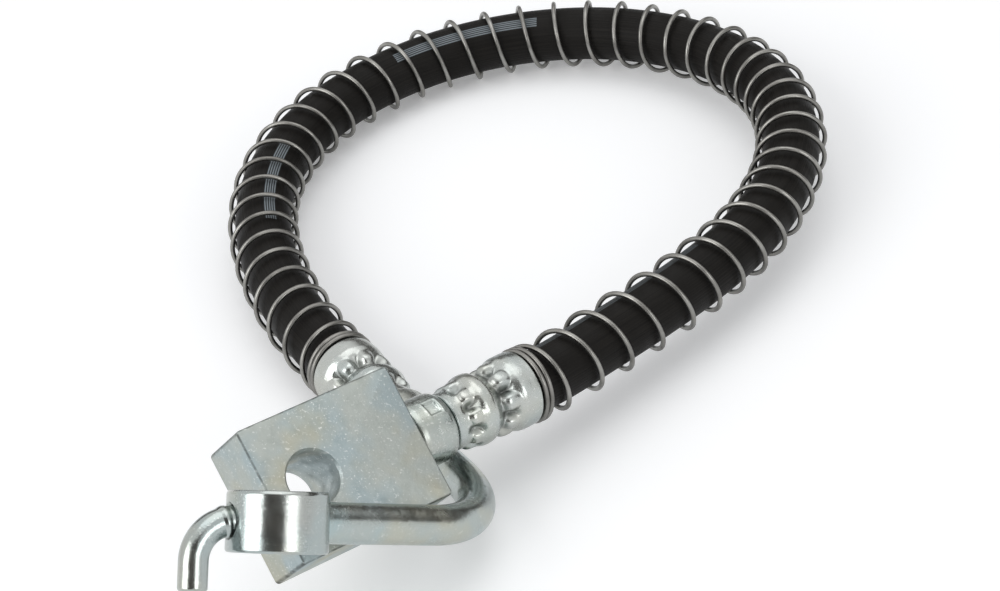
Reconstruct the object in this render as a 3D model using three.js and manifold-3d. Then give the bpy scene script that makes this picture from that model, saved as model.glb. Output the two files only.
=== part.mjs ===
// Front brake hose: a rubber hose in a coil-spring guard, looped on itself, with a crimped
// fitting at each end. One fitting carries a bolt-on junction block, the other a bent steel
// pipe that ends in a banjo eye with a hooked locating pin. Millimetres, +Z up.

import * as THREE from 'three';
import { mergeVertices } from 'three/addons/utils/BufferGeometryUtils.js';
import Module from 'manifold-3d';

const wasm = await Module();
wasm.setup();

// Driving dimensions

const CLEARANCE = 0.3;
const CHAMFER = 0.35;

const HOSE_DIAMETER = 10.4;
const HOSE_BORE = 3.4;
const HOSE_GRIP = 6;

const WIRE_DIAMETER = 0.9;
const GUARD_PLAY = 0.6;
const GUARD_DIAMETER = HOSE_DIAMETER + 2 * (WIRE_DIAMETER + GUARD_PLAY);
const GUARD_OPEN_TURNS = 46.6;
const GUARD_CLOSED_TURNS = 2;
const GUARD_CLOSED_PITCH = 1.0;
const GUARD_START_ANGLE = 258;

// The open turns lie a little wider and closer along the loop: pitch of each equal group of them
const GUARD_PITCHES = [6.6, 6.3, 6.3, 6.6, 6.8, 6.5, 5.9, 5.9, 6.0, 7.2];

const LOBE_RISE = 1.1;
const LOBE_RADIUS = HOSE_DIAMETER / 2 + LOBE_RISE;
const LOBE_START = 1.4;
const LOBE_END = 5.6;
const COLLAR_RISE = 0.7;
const COLLAR_RADIUS = HOSE_DIAMETER / 2 + COLLAR_RISE;
const COLLAR_START = 10;
const COLLAR_END = 12.6;
const VALLEY_SINK = 0.25;
const VALLEY_RADIUS = HOSE_DIAMETER / 2 - VALLEY_SINK;
const VALLEY_POSITION = 8.3;
const SHELL_LENGTH = 16.2;
const SHELL_WALL = 1.0;
const BOSS_COUNT = 8;
const BOSS_RADIUS = 1.7;
const BOSS_SINK = 0.1;
const BOSS_OFFSET = 1.05;

const STEM_TIP = 1.5;
const STEM_BORE = 1.5;
const NECK_RADIUS = 4.6;
const NECK_LENGTH = 0.4;
const HUB_RADIUS = 5.8;
const HUB_TAPER = 0.8;
const STAKE_DEPTH = 0.5;
const STAKE_WIDTH = 2.6;
const STAKE_LENGTH = 2.4;
const STAKE_POSITION = 19.3;
const STAKE_ANGLE = 205;

const BLOCK_FACE = 23.75;
const BLOCK_LENGTH = 28.8;
const BLOCK_WIDTH = 22.9;
const BLOCK_THICKNESS = 12;
const BOLT_HOLE_DIAMETER = 9;
const BOLT_HOLE_INSET = 8.3;
const SPIGOT_RADIUS = 3.5;
const SPIGOT_LENGTH = 4.2;
const PORT_DIAMETER = 8.9;
const PORT_DEPTH = 8.5;
const PORT_INSET = 10.2;
const PORT_SEAT_HEIGHT = 2.2;
const DRILLING_DIAMETER = 3;

const SOCKET_END = 28.5;
const SOCKET_RADIUS = 5.1;
const SOCKET_DEPTH = 5;
const PIPE_DIAMETER = 6.35;
const PIPE_WALL = 0.9;
const PIPE_BEND_RADIUS = 16.4;
const PIPE_CORNER = 24.95;
const PIPE_REACH = 45.4;

const EYE_DIAMETER = 15.4;
const EYE_BORE = 10.2;
const EYE_HEIGHT = 9.2;
const EYE_GROOVE_DEPTH = 0.4;
const EYE_GROOVE_HEIGHT = 4;
const EYE_SOCKET_FLOOR = 6.3;

const PIN_DIAMETER = 4.5;
const PIN_BEND_RADIUS = 6;
const PIN_REACH = 12.9;
const PIN_DROP = 10.4;
const PIN_ANGLE = 14;
const PIN_SOCKET_FLOOR = 6;

// Directions of the two fittings and of the pipe: compass heading from +X, climb, and roll
// about the direction, all in degrees

const BLOCK_FITTING = { heading: -140.3, climb: 9.8, roll: -45.5 };
const PIPE_FITTING = { heading: -57.5, climb: -1.0, roll: 0 };
const PIPE_RUN = { heading: -146.3, climb: 33.3, roll: -117.4 };

// Route of the hose from the mouth of the pipe fitting to the mouth of the block fitting

const ROUTE = [
  [-32.1, -15.0, 6.6],
  [-33.8, -12.4, 6.6],
  [-39.7, -1.8, 7.1],
  [-44.5, 9.5, 7.3],
  [-47.9, 21.2, 7.4],
  [-49.7, 33.3, 7.4],
  [-49.2, 45.6, 7.2],
  [-46.0, 57.4, 6.9],
  [-39.9, 68.0, 6.8],
  [-31.2, 76.7, 6.7],
  [-20.7, 82.9, 6.7],
  [-8.9, 86.2, 6.8],
  [3.3, 86.5, 7.0],
  [15.3, 83.9, 7.3],
  [26.3, 78.5, 7.7],
  [35.8, 70.9, 8.1],
  [43.2, 61.1, 8.6],
  [48.0, 49.9, 9.1],
  [49.8, 37.7, 9.5],
  [48.7, 25.5, 9.9],
  [45.0, 13.9, 10.2],
  [38.9, 3.2, 10.4],
  [31.0, -6.1, 10.6],
  [22.0, -14.5, 10.8],
  [12.8, -22.6, 11.3],
  [3.8, -31.0, 12.5],
  [-1.0, -35.0, 13.6],
];

// Materials

const ZINC = { roughness: 0.32, metalness: 0.9 };
const MATERIALS = {
  rubber: new THREE.MeshStandardMaterial({ color: 0x191818, roughness: 0.55, metalness: 0 }),
  springWire: new THREE.MeshStandardMaterial({ color: 0x9b9992, roughness: 0.35, metalness: 0.9 }),
  crimpedZinc: new THREE.MeshStandardMaterial({ color: 0xb9bdb8, ...ZINC }),
  turnedZinc: new THREE.MeshStandardMaterial({ color: 0xc2c6c2, ...ZINC }),
  blockZinc: new THREE.MeshStandardMaterial({ color: 0xaeb4ae, roughness: 0.5, metalness: 0.8 }),
  pipeZinc: new THREE.MeshStandardMaterial({ color: 0xb4bab8, ...ZINC }),
};

// Solids and meshes

const ROUND_SEGMENTS = 24;
const BORE_SEGMENTS = 16;
const WELD = 1e-4;

function weldedFaces(geometry) {
  const bare = new THREE.BufferGeometry();
  bare.setAttribute('position', geometry.getAttribute('position').clone());
  bare.setIndex(geometry.getIndex());
  const welded = mergeVertices(bare, WELD);
  const index = welded.getIndex().array;
  const faces = [];
  for (let i = 0; i < index.length; i += 3) {
    const [a, b, c] = [index[i], index[i + 1], index[i + 2]];
    if (a !== b && b !== c && c !== a) {
      faces.push(a, b, c);
    }
  }
  welded.setIndex(faces);
  return welded;
}

function signedVolume(geometry) {
  const position = geometry.getAttribute('position');
  const index = geometry.getIndex().array;
  const corners = [new THREE.Vector3(), new THREE.Vector3(), new THREE.Vector3()];
  let volume = 0;
  for (let i = 0; i < index.length; i += 3) {
    corners.forEach((corner, k) => corner.fromBufferAttribute(position, index[i + k]));
    volume += corners[0].dot(corners[1].clone().cross(corners[2])) / 6;
  }
  return volume;
}

function outwardFaces(geometry) {
  const faces = weldedFaces(geometry);
  if (signedVolume(faces) < 0) {
    faces.setIndex(Array.from(faces.getIndex().array).reverse());
  }
  return faces;
}

function solidOf(geometry) {
  const faces = outwardFaces(geometry);
  return new wasm.Manifold(
    new wasm.Mesh({
      numProp: 3,
      vertProperties: new Float32Array(faces.getAttribute('position').array),
      triVerts: new Uint32Array(faces.getIndex().array),
    }),
  );
}

function geometryOf(solid) {
  const mesh = solid.getMesh();
  const geometry = new THREE.BufferGeometry();
  geometry.setAttribute('position', new THREE.BufferAttribute(mesh.vertProperties, 3));
  geometry.setIndex(new THREE.BufferAttribute(mesh.triVerts, 1));
  return geometry;
}

function namedMesh(name, geometry, material) {
  const mesh = new THREE.Mesh(outwardFaces(geometry), material);
  mesh.geometry.computeVertexNormals();
  mesh.name = name;
  return mesh;
}

// A body of revolution about Y, from [radius, y] points that close on themselves
function turned(profile, segments = ROUND_SEGMENTS) {
  const points = profile.map(([radius, y]) => new THREE.Vector2(radius, y));
  points.push(points[0].clone());
  return new THREE.LatheGeometry(points, segments);
}

// A round cutter along Y from one end to the other
function rod(radius, from, to, segments = ROUND_SEGMENTS) {
  const geometry = new THREE.CylinderGeometry(radius, radius, to - from, segments);
  return geometry.translate(0, (from + to) / 2, 0);
}

// Directions and frames

const UP = new THREE.Vector3(0, 0, 1);

function directionOf({ heading, climb }) {
  const azimuth = THREE.MathUtils.degToRad(heading);
  const pitch = THREE.MathUtils.degToRad(climb);
  return new THREE.Vector3(
    Math.cos(pitch) * Math.cos(azimuth),
    Math.cos(pitch) * Math.sin(azimuth),
    Math.sin(pitch),
  );
}

// A group whose Y axis is the direction and whose Z axis is rolled from the horizontal
function groupAlong(origin, bearing) {
  const forward = directionOf(bearing);
  const level = forward.clone().cross(UP).normalize();
  const above = level.clone().cross(forward);
  const roll = THREE.MathUtils.degToRad(bearing.roll);
  const z = level.multiplyScalar(Math.cos(roll)).addScaledVector(above, Math.sin(roll));
  const x = forward.clone().cross(z);
  const group = new THREE.Group();
  group.quaternion.setFromRotationMatrix(new THREE.Matrix4().makeBasis(x, forward, z));
  group.position.copy(origin);
  return group;
}

// A rod bent once: straight, an arc of the given radius, and straight again
class BentRod extends THREE.Curve {
  constructor(start, corner, end, bendRadius) {
    super();
    const incoming = corner.clone().sub(start);
    const outgoing = end.clone().sub(corner);
    this.along = incoming.clone().normalize();
    this.away = outgoing.clone().normalize();
    this.angle = this.along.angleTo(this.away);
    this.radius = bendRadius;
    const tangent = bendRadius * Math.tan(this.angle / 2);
    this.start = start.clone();
    this.first = incoming.length() - tangent;
    this.arc = bendRadius * this.angle;
    this.last = outgoing.length() - tangent;
    this.arcStart = start.clone().addScaledVector(this.along, this.first);
    this.arcEnd = corner.clone().addScaledVector(this.away, tangent);
    const across = this.away.dot(this.along);
    this.inward = this.away.clone().addScaledVector(this.along, -across).normalize();
  }

  getPoint(t, target = new THREE.Vector3()) {
    const travelled = t * (this.first + this.arc + this.last);
    if (travelled <= this.first) {
      return target.copy(this.start).addScaledVector(this.along, travelled);
    }
    if (travelled >= this.first + this.arc) {
      return target.copy(this.arcEnd).addScaledVector(this.away, travelled - this.first - this.arc);
    }
    const turn = (travelled - this.first) / this.radius;
    return target
      .copy(this.arcStart)
      .addScaledVector(this.along, this.radius * Math.sin(turn))
      .addScaledVector(this.inward, this.radius * (1 - Math.cos(turn)));
  }
}

function ring(radius, bore) {
  const shape = new THREE.Shape();
  shape.absarc(0, 0, radius, 0, 2 * Math.PI);
  if (bore > 0) {
    const hole = new THREE.Path();
    hole.absarc(0, 0, bore, 0, 2 * Math.PI, true);
    shape.holes.push(hole);
  }
  return shape;
}

function swept(shape, path, steps, sides) {
  return new THREE.ExtrudeGeometry(shape, {
    extrudePath: path,
    steps,
    curveSegments: sides / 2,
    bevelEnabled: false,
  });
}

// Hose

const HOSE_SIDES = 10;
const HOSE_STEPS = 42;
const MOUTHS = {
  pipe: new THREE.Vector3(...ROUTE[0]),
  block: new THREE.Vector3(...ROUTE[ROUTE.length - 1]),
};

// The route with the straight lengths that the two fittings grip
function hoseCurve() {
  const gripPoints = (mouth, bearing) =>
    [1, 0.5].map((share) => mouth.clone().addScaledVector(directionOf(bearing), share * HOSE_GRIP));
  const points = ROUTE.map((point) => new THREE.Vector3(...point));
  points.unshift(...gripPoints(MOUTHS.pipe, PIPE_FITTING));
  points.push(...gripPoints(MOUTHS.block, BLOCK_FITTING).reverse());
  const curve = new THREE.CatmullRomCurve3(points, false, 'centripetal');
  curve.arcLengthDivisions = 20 * points.length;
  return curve;
}

function hose() {
  const section = ring(HOSE_DIAMETER / 2, HOSE_BORE / 2);
  return namedMesh('hose', swept(section, hoseCurve(), HOSE_STEPS, HOSE_SIDES), MATERIALS.rubber);
}

// Spring guard: a helix round the hose from one ferrule's lip to the other's

const COIL_STEPS = 10;
const WIRE_SIDES = 5;

class GuardCoil extends THREE.Curve {
  constructor(spine) {
    super();
    this.spine = spine;
    this.radius = (GUARD_DIAMETER - WIRE_DIAMETER) / 2;
    this.turns = GUARD_OPEN_TURNS + 2 * GUARD_CLOSED_TURNS;
    const seat = CLEARANCE + WIRE_DIAMETER / 2;
    const closedLength = GUARD_CLOSED_TURNS * GUARD_CLOSED_PITCH;
    this.from = HOSE_GRIP + seat;
    this.to = spine.getLength() - HOSE_GRIP - seat;
    const openLength = this.to - this.from - 2 * closedLength;
    const pitchSum = GUARD_PITCHES.reduce((sum, pitch) => sum + pitch, 0);
    this.stations = [this.from + closedLength];
    GUARD_PITCHES.forEach((pitch, i) => {
      this.stations.push(this.stations[i] + (openLength * pitch) / pitchSum);
    });
    this.arcLengthDivisions = Math.round(this.turns * COIL_STEPS);
  }

  distanceAt(turn) {
    if (turn < GUARD_CLOSED_TURNS) {
      return this.from + turn * GUARD_CLOSED_PITCH;
    }
    if (turn > this.turns - GUARD_CLOSED_TURNS) {
      return this.to - (this.turns - turn) * GUARD_CLOSED_PITCH;
    }
    const along = ((turn - GUARD_CLOSED_TURNS) / GUARD_OPEN_TURNS) * GUARD_PITCHES.length;
    const group = Math.min(Math.floor(along), GUARD_PITCHES.length - 1);
    const [start, end] = [this.stations[group], this.stations[group + 1]];
    return start + (along - group) * (end - start);
  }

  // The coil is right-handed, and its angle is counted from the level side of the hose
  getPoint(t, target = new THREE.Vector3()) {
    const turn = t * this.turns;
    const share = this.distanceAt(turn) / this.spine.getLength();
    const centre = this.spine.getPointAt(share);
    const forward = this.spine.getTangentAt(share);
    const side = forward.clone().cross(UP).normalize();
    const above = side.clone().cross(forward);
    const angle = THREE.MathUtils.degToRad(GUARD_START_ANGLE) - turn * 2 * Math.PI;
    return target
      .copy(centre)
      .addScaledVector(side, this.radius * Math.cos(angle))
      .addScaledVector(above, this.radius * Math.sin(angle));
  }
}

function springGuard() {
  const coil = new GuardCoil(hoseCurve());
  const wire = new THREE.Shape();
  for (let i = 0; i < WIRE_SIDES; i += 1) {
    const angle = (i * 2 * Math.PI) / WIRE_SIDES;
    const corner = [Math.cos(angle), Math.sin(angle)].map((c) => (c * WIRE_DIAMETER) / 2);
    if (i === 0) {
      wire.moveTo(...corner);
    } else {
      wire.lineTo(...corner);
    }
  }
  wire.closePath();
  const geometry = new THREE.ExtrudeGeometry(wire, {
    extrudePath: coil,
    steps: coil.arcLengthDivisions,
    bevelEnabled: false,
  });
  return namedMesh('spring_guard', geometry, MATERIALS.springWire);
}

// Ferrule: a shell crimped on the hose past its big lobe and closed over the insert's ridge

const SHELL_BORE = HOSE_DIAMETER / 2 + CLEARANCE;
const COLLAR_BORE = COLLAR_RADIUS - SHELL_WALL - 0.2;
const VALLEY_BORE = VALLEY_RADIUS - SHELL_WALL;
const GRIP_FLOOR = HOSE_GRIP + CLEARANCE;

function shellBore() {
  const overrun = 1;
  const bore = [
    [0, -overrun],
    [SHELL_BORE, -overrun],
    [SHELL_BORE, GRIP_FLOOR],
    [VALLEY_BORE, GRIP_FLOOR],
    [VALLEY_BORE, COLLAR_START],
    [COLLAR_BORE, COLLAR_START],
    [COLLAR_BORE, COLLAR_END],
    [VALLEY_BORE, COLLAR_END],
    [VALLEY_BORE, SHELL_LENGTH + overrun],
    [0, SHELL_LENGTH + overrun],
  ];
  return turned(bore, BORE_SEGMENTS);
}

function shellOutside() {
  const slope = 0.55;
  const shoulder = (LOBE_RADIUS + VALLEY_RADIUS) / 2;
  const collarShoulder = (COLLAR_RADIUS + VALLEY_RADIUS) / 2;
  return turned([
    [0, 0],
    [LOBE_RADIUS - 2 * CHAMFER, 0],
    [LOBE_RADIUS - CHAMFER, CHAMFER],
    [LOBE_RADIUS, LOBE_START],
    [LOBE_RADIUS, LOBE_END - 1],
    [LOBE_RADIUS - CHAMFER, LOBE_END],
    [shoulder, LOBE_END + slope * (VALLEY_POSITION - LOBE_END)],
    [VALLEY_RADIUS, VALLEY_POSITION],
    [collarShoulder, COLLAR_START - slope * (COLLAR_START - VALLEY_POSITION)],
    [COLLAR_RADIUS - CHAMFER / 2, COLLAR_START],
    [COLLAR_RADIUS, (COLLAR_START + COLLAR_END) / 2],
    [COLLAR_RADIUS - CHAMFER, COLLAR_END],
    [collarShoulder, COLLAR_END + slope * (SHELL_LENGTH - 1 - COLLAR_END)],
    [VALLEY_RADIUS, SHELL_LENGTH - 1],
    [VALLEY_RADIUS, SHELL_LENGTH],
    [0, SHELL_LENGTH],
  ]);
}

// One ring of round bosses, left standing on a slope where the crimping dies meet
const BOSS_SIDES = 6;

function crimpBosses(lobeRadius, position) {
  const centreRadius = lobeRadius - BOSS_SINK - BOSS_RADIUS * 0.5;
  const bosses = [];
  for (let i = 0; i < BOSS_COUNT; i += 1) {
    const boss = new THREE.SphereGeometry(BOSS_RADIUS, BOSS_SIDES, 4);
    boss.scale(1, 1, 0.5);
    boss.translate(0, position + BOSS_OFFSET, centreRadius);
    boss.rotateY(((i + 0.5) * 2 * Math.PI) / BOSS_COUNT);
    bosses.push(solidOf(boss));
  }
  return bosses;
}

function ferrule(name) {
  const bosses = [
    ...crimpBosses(LOBE_RADIUS, LOBE_END),
    ...crimpBosses(COLLAR_RADIUS, COLLAR_END),
  ];
  const outside = bosses.reduce((solid, boss) => solid.add(boss), solidOf(shellOutside()));
  const shell = outside.subtract(solidOf(shellBore()));
  return namedMesh(name, geometryOf(shell), MATERIALS.crimpedZinc);
}

// Insert: the turned piece with its stem in the hose and its hub outside the ferrule

const STEM_RADIUS = HOSE_BORE / 2 - CLEARANCE;
const SHANK_RADIUS = VALLEY_BORE - CLEARANCE;
const RIDGE_RADIUS = COLLAR_BORE - CLEARANCE;
const NECK_START = SHELL_LENGTH + CLEARANCE;
const HUB_START = NECK_START + NECK_LENGTH + HUB_TAPER;

// Outline from the stem's tip to where the hub begins
function insertFront() {
  return [
    [STEM_BORE / 2, STEM_TIP],
    [STEM_RADIUS - CHAMFER, STEM_TIP],
    [STEM_RADIUS, STEM_TIP + 2 * CHAMFER],
    [STEM_RADIUS, GRIP_FLOOR + CLEARANCE],
    [SHANK_RADIUS, GRIP_FLOOR + CLEARANCE],
    [SHANK_RADIUS, COLLAR_START + CLEARANCE],
    [RIDGE_RADIUS, COLLAR_START + CLEARANCE],
    [RIDGE_RADIUS, COLLAR_END - CLEARANCE],
    [SHANK_RADIUS, COLLAR_END - CLEARANCE],
    [SHANK_RADIUS, NECK_START],
    [NECK_RADIUS, NECK_START],
    [NECK_RADIUS, NECK_START + NECK_LENGTH],
    [HUB_RADIUS, HUB_START],
  ];
}

// The flat mark of the staking tool on the hub
function stakeMark() {
  const mark = new THREE.BoxGeometry(STAKE_WIDTH, STAKE_LENGTH, 2 * STAKE_DEPTH);
  mark.translate(0, STAKE_POSITION, HUB_RADIUS);
  return mark.rotateY(THREE.MathUtils.degToRad(STAKE_ANGLE));
}

function insert(name, tail) {
  const body = solidOf(turned([...insertFront(), ...tail]));
  const marked = body.subtract(solidOf(stakeMark()));
  return namedMesh(name, geometryOf(marked), MATERIALS.turnedZinc);
}

function blockInsert() {
  const shoulder = BLOCK_FACE - CLEARANCE;
  const tip = BLOCK_FACE + SPIGOT_LENGTH;
  return insert('block_end_insert', [
    [HUB_RADIUS, shoulder - CHAMFER],
    [HUB_RADIUS - CHAMFER, shoulder],
    [SPIGOT_RADIUS, shoulder],
    [SPIGOT_RADIUS, tip],
    [STEM_BORE / 2, tip],
  ]);
}

function pipeInsert() {
  const hubEnd = BLOCK_FACE - CLEARANCE;
  const socket = PIPE_DIAMETER / 2 + CLEARANCE;
  return insert('pipe_end_insert', [
    [HUB_RADIUS, hubEnd - CHAMFER],
    [SOCKET_RADIUS, hubEnd + CHAMFER],
    [SOCKET_RADIUS, SOCKET_END - CHAMFER],
    [SOCKET_RADIUS - CHAMFER, SOCKET_END],
    [socket, SOCKET_END],
    [socket, SOCKET_END - SOCKET_DEPTH],
    [STEM_BORE / 2, SOCKET_END - SOCKET_DEPTH],
  ]);
}

// Junction block: a bar end with a bolt hole, the insert's hole and a threaded pipe port

function roundedBar() {
  const halfWidth = BLOCK_WIDTH / 2 - CHAMFER;
  const near = BLOCK_FACE + CHAMFER;
  const far = BLOCK_FACE + BLOCK_LENGTH - CHAMFER;
  const flank = halfWidth - CHAMFER;
  const bar = new THREE.Shape([
    new THREE.Vector2(flank, near),
    new THREE.Vector2(halfWidth, near + CHAMFER),
    new THREE.Vector2(halfWidth, far - CHAMFER),
    new THREE.Vector2(flank, far),
    new THREE.Vector2(-flank, far),
    new THREE.Vector2(-halfWidth, far - CHAMFER),
    new THREE.Vector2(-halfWidth, near + CHAMFER),
    new THREE.Vector2(-flank, near),
  ]);
  const bolt = new THREE.Path();
  const boltY = BLOCK_FACE + BLOCK_LENGTH - BOLT_HOLE_INSET;
  bolt.absarc(0, boltY, BOLT_HOLE_DIAMETER / 2 + CHAMFER, 0, 2 * Math.PI, true);
  bar.holes.push(bolt);
  return bar;
}

function portCutter() {
  const port = PORT_DIAMETER / 2;
  const seat = port * 0.45;
  const drilling = DRILLING_DIAMETER / 2;
  const mouth = BLOCK_WIDTH / 2;
  const floor = mouth - PORT_DEPTH;
  const cutter = turned([
    [0, -drilling],
    [drilling, -drilling],
    [drilling, floor + PORT_SEAT_HEIGHT],
    [seat, floor + PORT_SEAT_HEIGHT],
    [port - CHAMFER, floor],
    [port, floor + CHAMFER],
    [port, mouth - CHAMFER],
    [port + 2 * CHAMFER, mouth + CHAMFER],
    [0, mouth + CHAMFER],
  ]);
  cutter.rotateZ(Math.PI / 2);
  return cutter.translate(0, BLOCK_FACE + PORT_INSET, 0);
}

function junctionBlock() {
  const bar = new THREE.ExtrudeGeometry(roundedBar(), {
    depth: BLOCK_THICKNESS - 2 * CHAMFER,
    bevelThickness: CHAMFER,
    bevelSize: CHAMFER,
    bevelSegments: 1,
    curveSegments: ROUND_SEGMENTS / 2,
  });
  bar.translate(0, 0, CHAMFER - BLOCK_THICKNESS / 2);
  const spigotFloor = BLOCK_FACE + SPIGOT_LENGTH + CLEARANCE;
  const spigotHole = rod(SPIGOT_RADIUS + CLEARANCE, BLOCK_FACE - 1, spigotFloor);
  const drilling = rod(DRILLING_DIAMETER / 2, BLOCK_FACE, BLOCK_FACE + PORT_INSET, ROUND_SEGMENTS / 2);
  const block = solidOf(bar)
    .subtract(solidOf(spigotHole))
    .subtract(solidOf(drilling))
    .subtract(solidOf(portCutter()));
  return namedMesh('junction_block', geometryOf(block), MATERIALS.blockZinc);
}

// Bent pipe, banjo eye and locating pin

const PIPE_SIDES = 12;
const PIPE_STEPS = 28;
const PIN_SIDES = 12;
const PIN_STEPS = 16;

const PIPE_CORNER_POINT = MOUTHS.pipe
  .clone()
  .addScaledVector(directionOf(PIPE_FITTING), SOCKET_END + PIPE_CORNER);
const EYE_CENTRE = PIPE_CORNER_POINT.clone().addScaledVector(directionOf(PIPE_RUN), PIPE_REACH);

function bentPipe() {
  const start = MOUTHS.pipe
    .clone()
    .addScaledVector(directionOf(PIPE_FITTING), SOCKET_END - SOCKET_DEPTH + CLEARANCE);
  const end = EYE_CENTRE.clone().addScaledVector(directionOf(PIPE_RUN), -EYE_SOCKET_FLOOR - CLEARANCE);
  const path = new BentRod(start, PIPE_CORNER_POINT, end, PIPE_BEND_RADIUS);
  const section = ring(PIPE_DIAMETER / 2, PIPE_DIAMETER / 2 - PIPE_WALL);
  return namedMesh('bent_pipe', swept(section, path, PIPE_STEPS, PIPE_SIDES), MATERIALS.pipeZinc);
}

// The eye stands on its own Z axis, with the pipe entering from -Y
function banjoEye() {
  const outer = EYE_DIAMETER / 2;
  const bore = EYE_BORE / 2;
  const half = EYE_HEIGHT / 2;
  const groove = EYE_GROOVE_HEIGHT / 2;
  const body = turned([
    [0, -half],
    [outer - CHAMFER, -half],
    [outer, -half + CHAMFER],
    [outer, half - CHAMFER],
    [outer - CHAMFER, half],
    [0, half],
  ]);
  const opening = turned([
    [0, -half - 1],
    [bore, -half - 1],
    [bore, -groove - EYE_GROOVE_DEPTH],
    [bore + EYE_GROOVE_DEPTH, -groove],
    [bore + EYE_GROOVE_DEPTH, groove],
    [bore, groove + EYE_GROOVE_DEPTH],
    [bore, half + 1],
    [0, half + 1],
  ]);
  const upright = (geometry) => solidOf(geometry.rotateX(Math.PI / 2));
  const pinHole = rod(PIN_DIAMETER / 2 + CLEARANCE, PIN_SOCKET_FLOOR, EYE_DIAMETER, 16);
  pinHole.rotateZ(THREE.MathUtils.degToRad(PIN_ANGLE));
  const eye = upright(body)
    .subtract(upright(opening))
    .subtract(solidOf(rod(PIPE_DIAMETER / 2 + CLEARANCE, -EYE_DIAMETER, -EYE_SOCKET_FLOOR)))
    .subtract(solidOf(rod(DRILLING_DIAMETER / 2, -EYE_DIAMETER, 0, 12)))
    .subtract(solidOf(pinHole));
  return namedMesh('banjo_eye', geometryOf(eye), MATERIALS.turnedZinc);
}

function locatingPin() {
  const angle = THREE.MathUtils.degToRad(PIN_ANGLE);
  const out = new THREE.Vector3(-Math.sin(angle), Math.cos(angle), 0);
  const start = out.clone().multiplyScalar(PIN_SOCKET_FLOOR + CLEARANCE);
  const corner = out.clone().multiplyScalar(PIN_REACH);
  const end = corner.clone().add(new THREE.Vector3(0, 0, PIN_DROP));
  const path = new BentRod(start, corner, end, PIN_BEND_RADIUS);
  const section = ring(PIN_DIAMETER / 2, 0);
  return namedMesh('locating_pin', swept(section, path, PIN_STEPS, PIN_SIDES), MATERIALS.turnedZinc);
}

// Assembly

const assembly = new THREE.Group();
assembly.add(hose(), springGuard(), bentPipe());

const blockFitting = groupAlong(MOUTHS.block, BLOCK_FITTING);
blockFitting.add(ferrule('block_end_ferrule'), blockInsert(), junctionBlock());
assembly.add(blockFitting);

const pipeFitting = groupAlong(MOUTHS.pipe, PIPE_FITTING);
pipeFitting.add(ferrule('pipe_end_ferrule'), pipeInsert());
assembly.add(pipeFitting);

const eyeFitting = groupAlong(EYE_CENTRE, PIPE_RUN);
eyeFitting.add(banjoEye(), locatingPin());
assembly.add(eyeFitting);

// The origin is on the floor, in the middle of the outline of everything but the hose

const outline = new THREE.Box3();
assembly.updateMatrixWorld(true);
assembly.traverse((node) => {
  if (node.isMesh && node.name !== 'hose') {
    outline.expandByObject(node, true);
  }
});
const middle = outline.getCenter(new THREE.Vector3());
assembly.position.set(-middle.x, -middle.y, -outline.min.z);

export default assembly;
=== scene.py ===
# %% [markdown]
# # A brake hose with a spring guard
#
# This lesson dresses a car's brake hose. A rubber hose loops back on itself inside a coil of
# wire. Each end is crimped in a steel ferrule: one carries a drilled block, the other a bent
# pipe with a banjo eye. The solid model gives every place and size, and the cells below make
# the fine surfaces and the finishes. All lengths are in metres.

import bpy
import numpy as np
from mathutils import Matrix, Vector


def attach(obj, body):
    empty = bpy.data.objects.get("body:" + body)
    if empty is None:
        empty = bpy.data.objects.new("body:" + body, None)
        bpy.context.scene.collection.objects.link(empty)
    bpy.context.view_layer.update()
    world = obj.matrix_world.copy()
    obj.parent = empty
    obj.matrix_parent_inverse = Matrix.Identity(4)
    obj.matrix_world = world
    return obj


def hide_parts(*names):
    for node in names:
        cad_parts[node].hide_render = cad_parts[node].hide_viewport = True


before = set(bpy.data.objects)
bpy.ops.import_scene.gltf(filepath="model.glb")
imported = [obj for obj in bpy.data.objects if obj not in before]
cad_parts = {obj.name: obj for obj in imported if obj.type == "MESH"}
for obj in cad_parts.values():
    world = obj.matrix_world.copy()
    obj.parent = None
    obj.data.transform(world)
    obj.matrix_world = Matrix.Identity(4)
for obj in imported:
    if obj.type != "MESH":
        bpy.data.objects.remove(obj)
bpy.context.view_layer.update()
print("solid pieces:", ", ".join(sorted(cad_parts)))

# %% [markdown]
# ## Camera
#
# The camera looks down at the hose from the side of its fittings. A long lens keeps the far
# side of the loop nearly as large as the near side, as a catalogue photograph does. The three
# directions below are the picture's right, the picture's down and the line of sight.

# %% Camera
MM = 0.001
CENTRING = np.array([0.0782, 0.1134, -0.0477]) * MM

camera_place = np.array([37.506, -382.484, 286.267]) * MM + CENTRING
picture_right = Vector((0.98749, -0.00528, -0.15757))
picture_down = Vector((-0.12988, -0.59381, -0.79405))
sight = Vector((-0.08937, 0.80459, -0.58707))

lens = bpy.data.cameras.new("camera")
lens.sensor_width = 36.0
lens.lens = 97.2
lens.clip_start = 0.02
lens.clip_end = 20.0
camera = bpy.data.objects.new("camera", lens)
turn = Matrix((picture_right, -picture_down, -sight)).transposed()
camera.matrix_world = Matrix.Translation(Vector(camera_place)) @ turn.to_4x4()
bpy.context.scene.collection.objects.link(camera)
bpy.context.scene.camera = camera
print("camera at", np.round(camera_place, 3), "with a lens of", lens.lens, "mm")

# %% [markdown]
# ## Surfaces from grids
#
# Everything round here is a pipe of some kind: rings of points that follow a line. One helper
# turns an array of rings into a closed skin. A solid piece closes each end on a point in its
# middle, and a piece with a bore joins its last ring to its first. The helper measures the
# volume inside and turns the faces round if they point inwards.


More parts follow.
